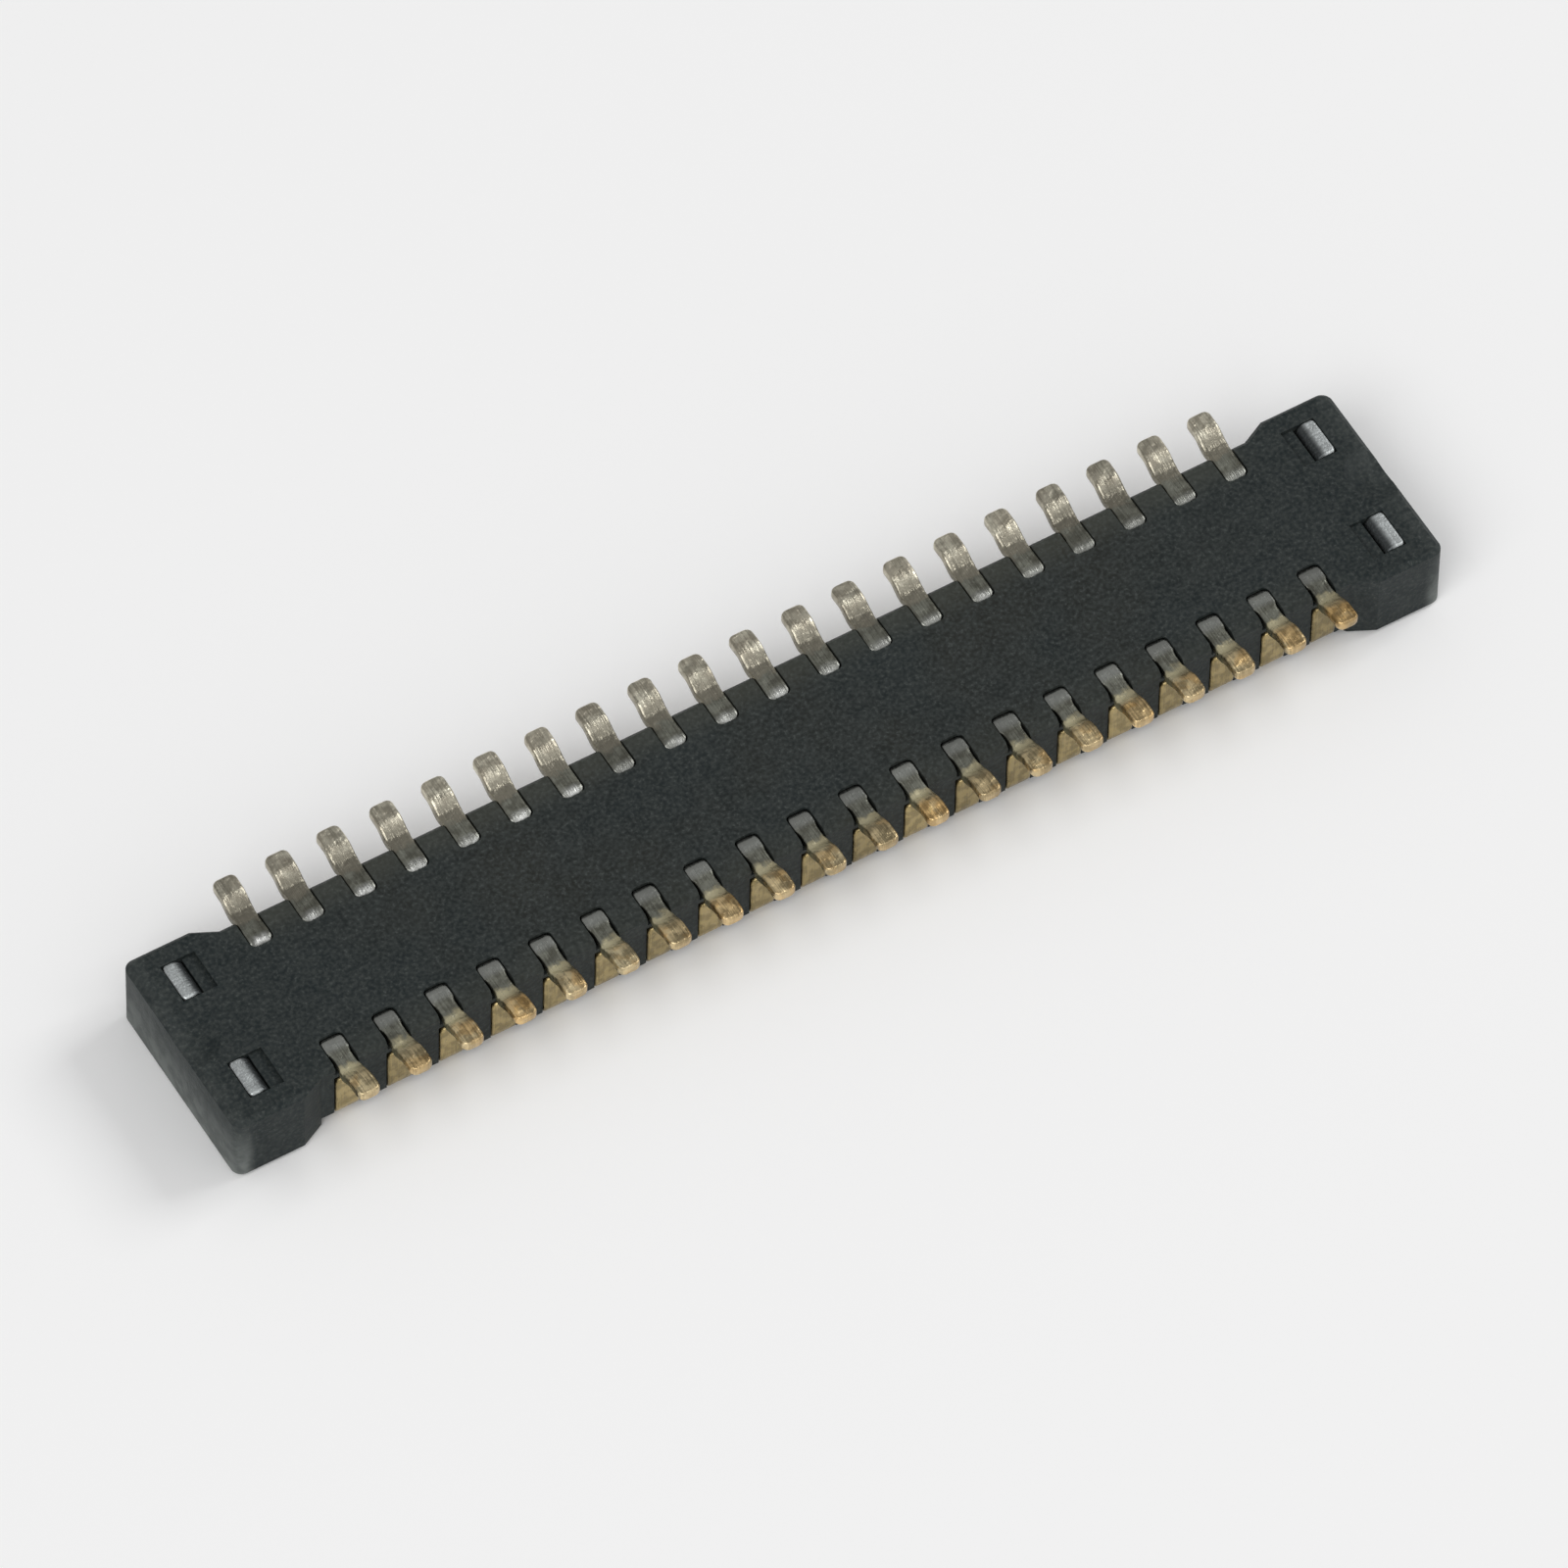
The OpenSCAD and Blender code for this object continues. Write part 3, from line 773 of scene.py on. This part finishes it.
def plating_material(gold_end, fold_start, leg_gold_start):
    """Contact plating: gold on the tail and the legs, a bare nickel band between, and rolled lines.

    The root of a tail has a tone of its own, and painted shade darkens the strip's right side. The head,
    where the strip folds down into the housing, has a nickel tone of its own, and in the rear row a
    painted highlight makes it brighter than the neck, by a share that differs from contact to contact.
    Each zone of the rear row starts a little later than in front.
    """
    material, tree, shader, position = new_material("contact_plating")
    along, across, front = [attribute(tree, name) for name in ("along", "across", "front")]
    cloud, grain = mottle(tree, position, PLATING_CLOUDS, PLATING_GRAIN)
    patch, dent = mottle(tree, position, PLATING_PATCHES, PLATING_DENTS)
    lot = attribute(tree, "lot")
    lines = strip_lines(tree, along, across, lot)
    tone = math_node(tree, "MULTIPLY", cloud, CLOUDS_IN_TONE)
    tone = math_node(tree, "MULTIPLY_ADD", lines, LINES_IN_TONE, tone)
    tone = ramp(tree, tone, *TONE)
    later = math_node(tree, "MULTIPLY_ADD", front, REAR_ZONES_LATER, -REAR_ZONES_LATER)
    zone = math_node(tree, "ADD", along, later)
    root = ramp(tree, along, gold_end - ROOT_FROM, gold_end - ROOT_TO)
    # Orange-tinted gold: partly a tint, partly painted orange highlights
    warm_glint = math_node(tree, "MULTIPLY", attribute(tree, "warm_glint"), WARM_GLINT_SHARE)
    warm_glint = math_node(tree, "MULTIPLY_ADD", ramp(tree, patch, *WARM_GLINT_PATCHES), WARM_GLINT_SHARE, warm_glint)
    front_gold = blend(tree, tone, GOLD_DULL, GOLD_BRIGHT)
    front_gold = blend(tree, warm_glint, front_gold, blend(tree, tone, GOLD_RED, GOLD_ORANGE_GLINT))
    front_gold = blend(tree, root, front_gold, GOLD_ROOT)
    # Painted shade on the strip's right side
    shaded_side = ramp(tree, across, *SHADED_SIDE)
    front_gold = blend(tree, shaded_side, front_gold, SIDE_SHADE, "MULTIPLY")
    rear_gold = blend(tree, tone, PALE_DULL, PALE_BRIGHT)
    brown = math_node(tree, "MULTIPLY", patch, BROWN_SHARE)
    rear_gold = blend(tree, brown, rear_gold, PALE_BROWN)
    rear_gold = blend(tree, root, rear_gold, PALE_ROOT)
    tail_gold = blend(tree, front, rear_gold, front_gold)
    nickel = blend(tree, tone, NICKEL_DARK, NICKEL_PALE)
    # Painted shade on the right side of the rear nickel
    shaded_rear_side = math_node(tree, "MULTIPLY", shaded_side, ramp(tree, front, *SIDE_SHADE_BY_ROW))
    nickel = blend(tree, shaded_rear_side, nickel, SIDE_SHADE, "MULTIPLY")
    head = ramp(tree, zone, fold_start - HEAD_FROM, fold_start - HEAD_TO)
    nickel = blend(tree, head, nickel, blend(tree, front, NICKEL_WORN, NICKEL_HEAD))
    # Painted highlight spots in the middle of the rear heads
    middle = ramp(tree, math_node(tree, "ABSOLUTE", across), *HIGHLIGHT_ACROSS)
    painted_highlight = math_node(tree, "MULTIPLY", middle, ramp(tree, dent, *HIGHLIGHT_DENTS))
    painted_highlight = math_node(tree, "MULTIPLY", painted_highlight, head)
    painted_highlight = math_node(tree, "MULTIPLY", painted_highlight, attribute(tree, "head_highlight"))
    nickel = blend(tree, painted_highlight, nickel, NICKEL_PAINTED_HIGHLIGHT)
    leg_gold = blend(tree, ramp(tree, tone, *LEG_TONE), GOLD_DULL, GOLD_BRIGHT)
    leg_gold = blend(tree, 1.0, leg_gold, LEG_SHADE, "MULTIPLY")
    edge = math_node(tree, "MULTIPLY_ADD", cloud, ZONE_WAVER, zone)
    bare = ramp(tree, edge, gold_end, gold_end + ZONE_BLEND)
    color = blend(tree, bare, tail_gold, nickel)
    leg = ramp(tree, edge, leg_gold_start, leg_gold_start + ZONE_BLEND)
    color = blend(tree, leg, color, leg_gold)
    # Painted shade on the front tails' ends, in the copper colour of the sheared end
    copper_and_shade = math_node(tree, "MULTIPLY", ramp(tree, along, *FRONT_END_SHADE), front)
    copper_and_shade = math_node(tree, "MAXIMUM", copper_and_shade, ramp(tree, along, *SHEARED_END))
    color = blend(tree, copper_and_shade, color, COPPER_AND_END_SHADE)
    color = blend(tree, 1.0, color, blend(tree, lot, LOT_DARK, LOT_PALE), "MULTIPLY")
    rough = ramp(tree, math_node(tree, "ADD", lines, grain), *PLATING_ROUGH)
    height = math_node(tree, "MULTIPLY_ADD", grain, GRAIN_IN_PLATING_BUMP, lines)
    dented = ramp(
        tree, along, gold_end - DENT_BLEND, gold_end + DENT_BLEND, TAIL_DENTS, NECK_DENTS
    )
    height = math_node(tree, "MULTIPLY_ADD", dent, dented, height)
    finish_surface(tree, shader, color, rough, height, PLATING_BUMP)
    shader.inputs["Metallic"].default_value = 1.0
    return material


def tin_material(foot_end):
    """Matt tin on the hold-downs: pale clouds and grain on the feet, darker down the fold."""
    material, tree, shader, position = new_material("hold_down_tin")
    along, across = attribute(tree, "along"), attribute(tree, "across")
    cloud, grain = mottle(tree, position, TIN_CLOUDS, TIN_GRAIN)
    lines = strip_lines(tree, along, across, TIN_LOT)
    tone = math_node(tree, "MULTIPLY", cloud, CLOUDS_IN_TIN)
    tone = math_node(tree, "MULTIPLY_ADD", grain, GRAIN_IN_TIN, tone)
    color = blend(tree, tone, TIN_DULL, TIN_BRIGHT)
    down = ramp(tree, along, foot_end + TIN_SHADE_FROM, foot_end + TIN_SHADE_TO)
    color = blend(tree, down, color, TIN_SHADED)
    rough = ramp(tree, math_node(tree, "ADD", lines, grain), *TIN_ROUGH)
    height = math_node(tree, "MULTIPLY_ADD", lines, LINES_IN_TIN_BUMP, grain)
    finish_surface(tree, shader, color, rough, height, TIN_BUMP)
    shader.inputs["Metallic"].default_value = 1.0
    return material


def floor_material():
    """Matt white paper."""
    material = bpy.data.materials.new("white_paper")
    material.use_nodes = True
    shader = material.node_tree.nodes["Principled BSDF"]
    shader.inputs["Base Color"].default_value = (*PAPER, 1.0)
    shader.inputs["Roughness"].default_value = 1.0
    shader.inputs["Specular IOR Level"].default_value = 0.0
    return material


# Studio

def camera_axes():
    """Right, up and backward directions of the camera, from its azimuth, elevation and roll."""
    azimuth = math.radians(CAMERA_AZIMUTH)
    elevation = math.radians(CAMERA_ELEVATION)
    roll = math.radians(CAMERA_ROLL)
    back = Vector((
        math.sin(azimuth) * math.cos(elevation),
        -math.cos(azimuth) * math.cos(elevation),
        math.sin(elevation),
    ))
    level_right = Vector((0.0, 0.0, 1.0)).cross(back).normalized()
    level_up = back.cross(level_right)
    right = level_right * math.cos(roll) + level_up * math.sin(roll)
    up = level_up * math.cos(roll) - level_right * math.sin(roll)
    return right, up, back


def add_camera():
    """A long lens that shows the aim point at its pixel of the square picture."""
    right, up, back = camera_axes()
    data = bpy.data.cameras.new("camera")
    data.sensor_width = SENSOR_MM
    data.lens = SENSOR_MM * PIXELS_PER_MM * CAMERA_DISTANCE / IMAGE_PX
    data.clip_start = CLIP_NEAR
    data.clip_end = CLIP_FAR
    half = IMAGE_PX / 2.0
    aside = (AIM_PIXEL[0] - half) / PIXELS_PER_MM
    above = (half - AIM_PIXEL[1]) / PIXELS_PER_MM
    place = Vector(AIM_POINT) + back * CAMERA_DISTANCE - right * aside - up * above
    camera = bpy.data.objects.new("camera", data)
    camera.matrix_world = Matrix((
        (right.x, up.x, back.x, place.x * MM),
        (right.y, up.y, back.y, place.y * MM),
        (right.z, up.z, back.z, place.z * MM),
        (0.0, 0.0, 0.0, 1.0),
    ))
    bpy.context.scene.collection.objects.link(camera)
    bpy.context.scene.camera = camera


def add_floor():
    """A wide sheet of white paper under the rims."""
    mesh = bpy.data.meshes.new("floor")
    low, high = -FLOOR_HALF, FLOOR_HALF
    corners = [(low, low, 0.0), (high, low, 0.0), (high, high, 0.0), (low, high, 0.0)]
    mesh.from_pydata(corners, [], [(0, 1, 2, 3)])
    mesh.materials.append(floor_material())
    floor = bpy.data.objects.new("floor", mesh)
    bpy.context.scene.collection.objects.link(floor)


def add_light():
    """A white surround that is brighter in front than behind, and a softbox on each side."""
    world = bpy.data.worlds.new("studio")
    bpy.context.scene.world = world
    world.use_nodes = True
    tree = world.node_tree
    direction = shader_node(tree, "ShaderNodeTexCoord").outputs["Generated"]
    depth = shader_node(tree, "ShaderNodeSeparateXYZ", {0: direction}).outputs["Y"]
    strength = ramp(tree, depth, SURROUND_FROM, SURROUND_TO, SURROUND_BACK, SURROUND_FRONT)
    surround = tree.nodes["Background"]
    surround.inputs["Color"].default_value = (1.0, 1.0, 1.0, 1.0)
    tree.links.new(strength, surround.inputs["Strength"])
    for number, (direction, size, watts) in enumerate(SOFTBOXES, start=1):
        data = bpy.data.lights.new(f"softbox_{number}", "AREA")
        data.size = size
        data.energy = watts
        softbox = bpy.data.objects.new(f"softbox_{number}", data)
        toward = Vector(direction).normalized()
        softbox.location = toward * SOFTBOX_DISTANCE
        softbox.rotation_euler = toward.to_track_quat("Z", "Y").to_euler()
        bpy.context.scene.collection.objects.link(softbox)


bpy.context.scene.view_settings.view_transform = "Standard"
add_camera()
add_floor()
add_light()
surface_mottle_group()
rolled_lines_group()
neck_start, fold_start, fold_end = contact_folds()
contact_pieces(plating_material(neck_start + GOLD_PAST_TAIL, fold_start, fold_end))
hold_down_pieces(tin_material(HOLD_FOOT_LEN))
housing_top = cad_box_mm("housing")[1][2]
housing_piece(plastic_material(housing_top))
